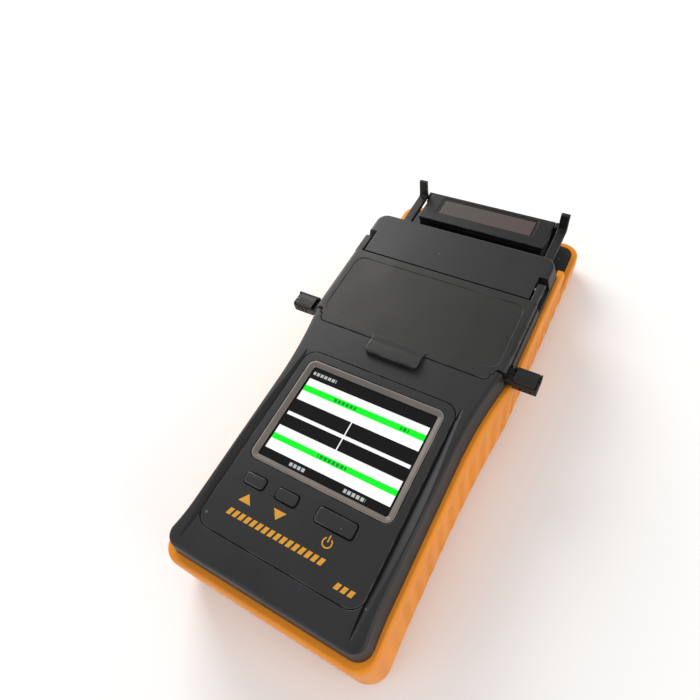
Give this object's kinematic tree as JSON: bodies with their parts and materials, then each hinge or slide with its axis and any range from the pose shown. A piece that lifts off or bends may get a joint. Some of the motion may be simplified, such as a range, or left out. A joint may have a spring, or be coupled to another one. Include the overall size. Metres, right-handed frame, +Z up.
{
  "type": "fiber fusion splicer",
  "caption": "Handheld optical-fibre fusion splicer with colour display, keys, hinged wind cover over the splice stage, side fibre holders and a heat-shrink oven with cooling hooks.",
  "frame": {"origin": "on the ground under the middle of the overall box, at the feet's undersides", "axes": "+X to the user's right, +Y from the user towards the oven, +Z up"},
  "size_m": [0.133, 0.2596, 0.0506],
  "materials": {
    "orange_shell": "satin",
    "dark_shell": "satin",
    "beige_bezel": "satin",
    "display": "gloss",
    "black_plastic": "matte",
    "rubber": "matte",
    "aluminium": "satin",
    "steel": "satin",
    "board_green": "satin",
    "battery_wrap": "satin",
    "ceramic": "satin",
    "smoked_window": "gloss",
    "mirror_glass": "polished"
  },
  "bodies": {
    "case": {"lower_shell": "orange_shell", "upper_shell": "dark_shell", "control_fascia": "dark_shell", "rear_bulkhead": "dark_shell", "display_bezel": "beige_bezel", "display_glass": "display", "battery_door": "black_plastic", "charging_inlet": "black_plastic", "electrode_holder_front": "black_plastic", "electrode_holder_rear": "black_plastic", "microscope_front": "black_plastic", "microscope_rear": "black_plastic", "oven_tray": "black_plastic", "oven_base": "black_plastic", "cooling_hook_left": "black_plastic", "cooling_hook_right": "black_plastic", "foot_front_left": "rubber", "foot_front_right": "rubber", "foot_rear_left": "rubber", "foot_rear_right": "rubber", "display_module": "aluminium", "stage_base": "aluminium", "clamp_bracket": "aluminium", "heater_trough": "aluminium", "case_screw_front_left": "steel", "case_screw_front_right": "steel", "case_screw_rear_left": "steel", "case_screw_rear_right": "steel", "cover_pin_left": "steel", "cover_pin_right": "steel", "electrode_front": "steel", "electrode_rear": "steel", "clamp_pin": "steel", "stepper_left": "steel", "stepper_right": "steel", "oven_hinge_pin": "steel", "main_board": "board_green", "key_board": "board_green", "battery_pack": "battery_wrap", "v_groove_block_left": "ceramic", "v_groove_block_right": "ceramic"},
    "cover": {"wind_cover": "dark_shell", "cover_mirror": "mirror_glass"},
    "clamp_left": {"fibre_clamp_left": "aluminium"},
    "clamp_right": {"fibre_clamp_right": "aluminium"},
    "carriage_left": {"carriage_left": "aluminium", "holder_arm_left": "black_plastic"},
    "carriage_right": {"carriage_right": "aluminium", "holder_arm_right": "black_plastic"},
    "screw_left": {"lead_screw_left": "steel"},
    "screw_right": {"lead_screw_right": "steel"},
    "holder_lid_left": {"holder_lid_left": "black_plastic"},
    "holder_lid_right": {"holder_lid_right": "black_plastic"},
    "oven_lid": {"oven_lid": "black_plastic", "oven_window": "smoked_window"},
    "key_up": {"key_up": "dark_shell"},
    "key_down": {"key_down": "dark_shell"},
    "key_power": {"key_power": "dark_shell"}
  },
  "joints": [
    {"name": "cover_hinge", "type": "hinge", "parent": "case", "child": "cover", "pos_m": [0, 0.063, 0.0443], "axis": [-1, 0, 0], "range_deg": [0, 95]},
    {"name": "fibre_clamp_left_hinge", "type": "hinge", "parent": "case", "child": "clamp_left", "pos_m": [0, 0.033, 0.0443], "axis": [-1, 0, 0], "range_deg": [0, 60]},
    {"name": "fibre_clamp_right_hinge", "type": "hinge", "parent": "case", "child": "clamp_right", "pos_m": [0, 0.033, 0.0443], "axis": [-1, 0, 0], "range_deg": [0, 60]},
    {"name": "carriage_left_slide", "type": "slide", "parent": "case", "child": "carriage_left", "axis": [1, 0, 0], "range_m": [-0.001, 0.001]},
    {"name": "carriage_right_slide", "type": "slide", "parent": "case", "child": "carriage_right", "axis": [1, 0, 0], "range_m": [-0.001, 0.001]},
    {"name": "lead_screw_left_spin", "type": "hinge", "parent": "case", "child": "screw_left", "pos_m": [-0.0125, 0.027, 0.022], "axis": [1, 0, 0], "range_deg": [-185, 185]},
    {"name": "lead_screw_right_spin", "type": "hinge", "parent": "case", "child": "screw_right", "pos_m": [0.0125, 0.027, 0.022], "axis": [1, 0, 0], "range_deg": [-185, 185]},
    {"name": "holder_lid_left_hinge", "type": "hinge", "parent": "carriage_left", "child": "holder_lid_left", "pos_m": [-0.0652, 0.01545, 0.0436], "axis": [-1, 0, 0], "range_deg": [0, 90]},
    {"name": "holder_lid_right_hinge", "type": "hinge", "parent": "carriage_right", "child": "holder_lid_right", "pos_m": [0.0652, 0.01545, 0.0436], "axis": [-1, 0, 0], "range_deg": [0, 90]},
    {"name": "oven_lid_hinge", "type": "hinge", "parent": "case", "child": "oven_lid", "pos_m": [0, 0.1284, 0.0286], "axis": [-1, 0, 0], "range_deg": [0, 100]},
    {"name": "key_up_press", "type": "slide", "parent": "case", "child": "key_up", "axis": [0, 0, -1], "range_m": [0, 0.0007], "stiffness_N_per_m": 2000},
    {"name": "key_down_press", "type": "slide", "parent": "case", "child": "key_down", "axis": [0, 0, -1], "range_m": [0, 0.0007], "stiffness_N_per_m": 2000},
    {"name": "key_power_press", "type": "slide", "parent": "case", "child": "key_power", "axis": [0, 0, -1], "range_m": [0, 0.0007], "stiffness_N_per_m": 2500}
  ],
  "couplings": [
    {"joint": "fibre_clamp_left_hinge", "follows": "cover_hinge", "ratio": 0.6},
    {"joint": "fibre_clamp_right_hinge", "follows": "cover_hinge", "ratio": 0.6},
    {"joint": "lead_screw_left_spin", "follows": "carriage_left_slide", "rad_per_m": 3141.6},
    {"joint": "lead_screw_right_spin", "follows": "carriage_right_slide", "rad_per_m": 3141.6}
  ]
}
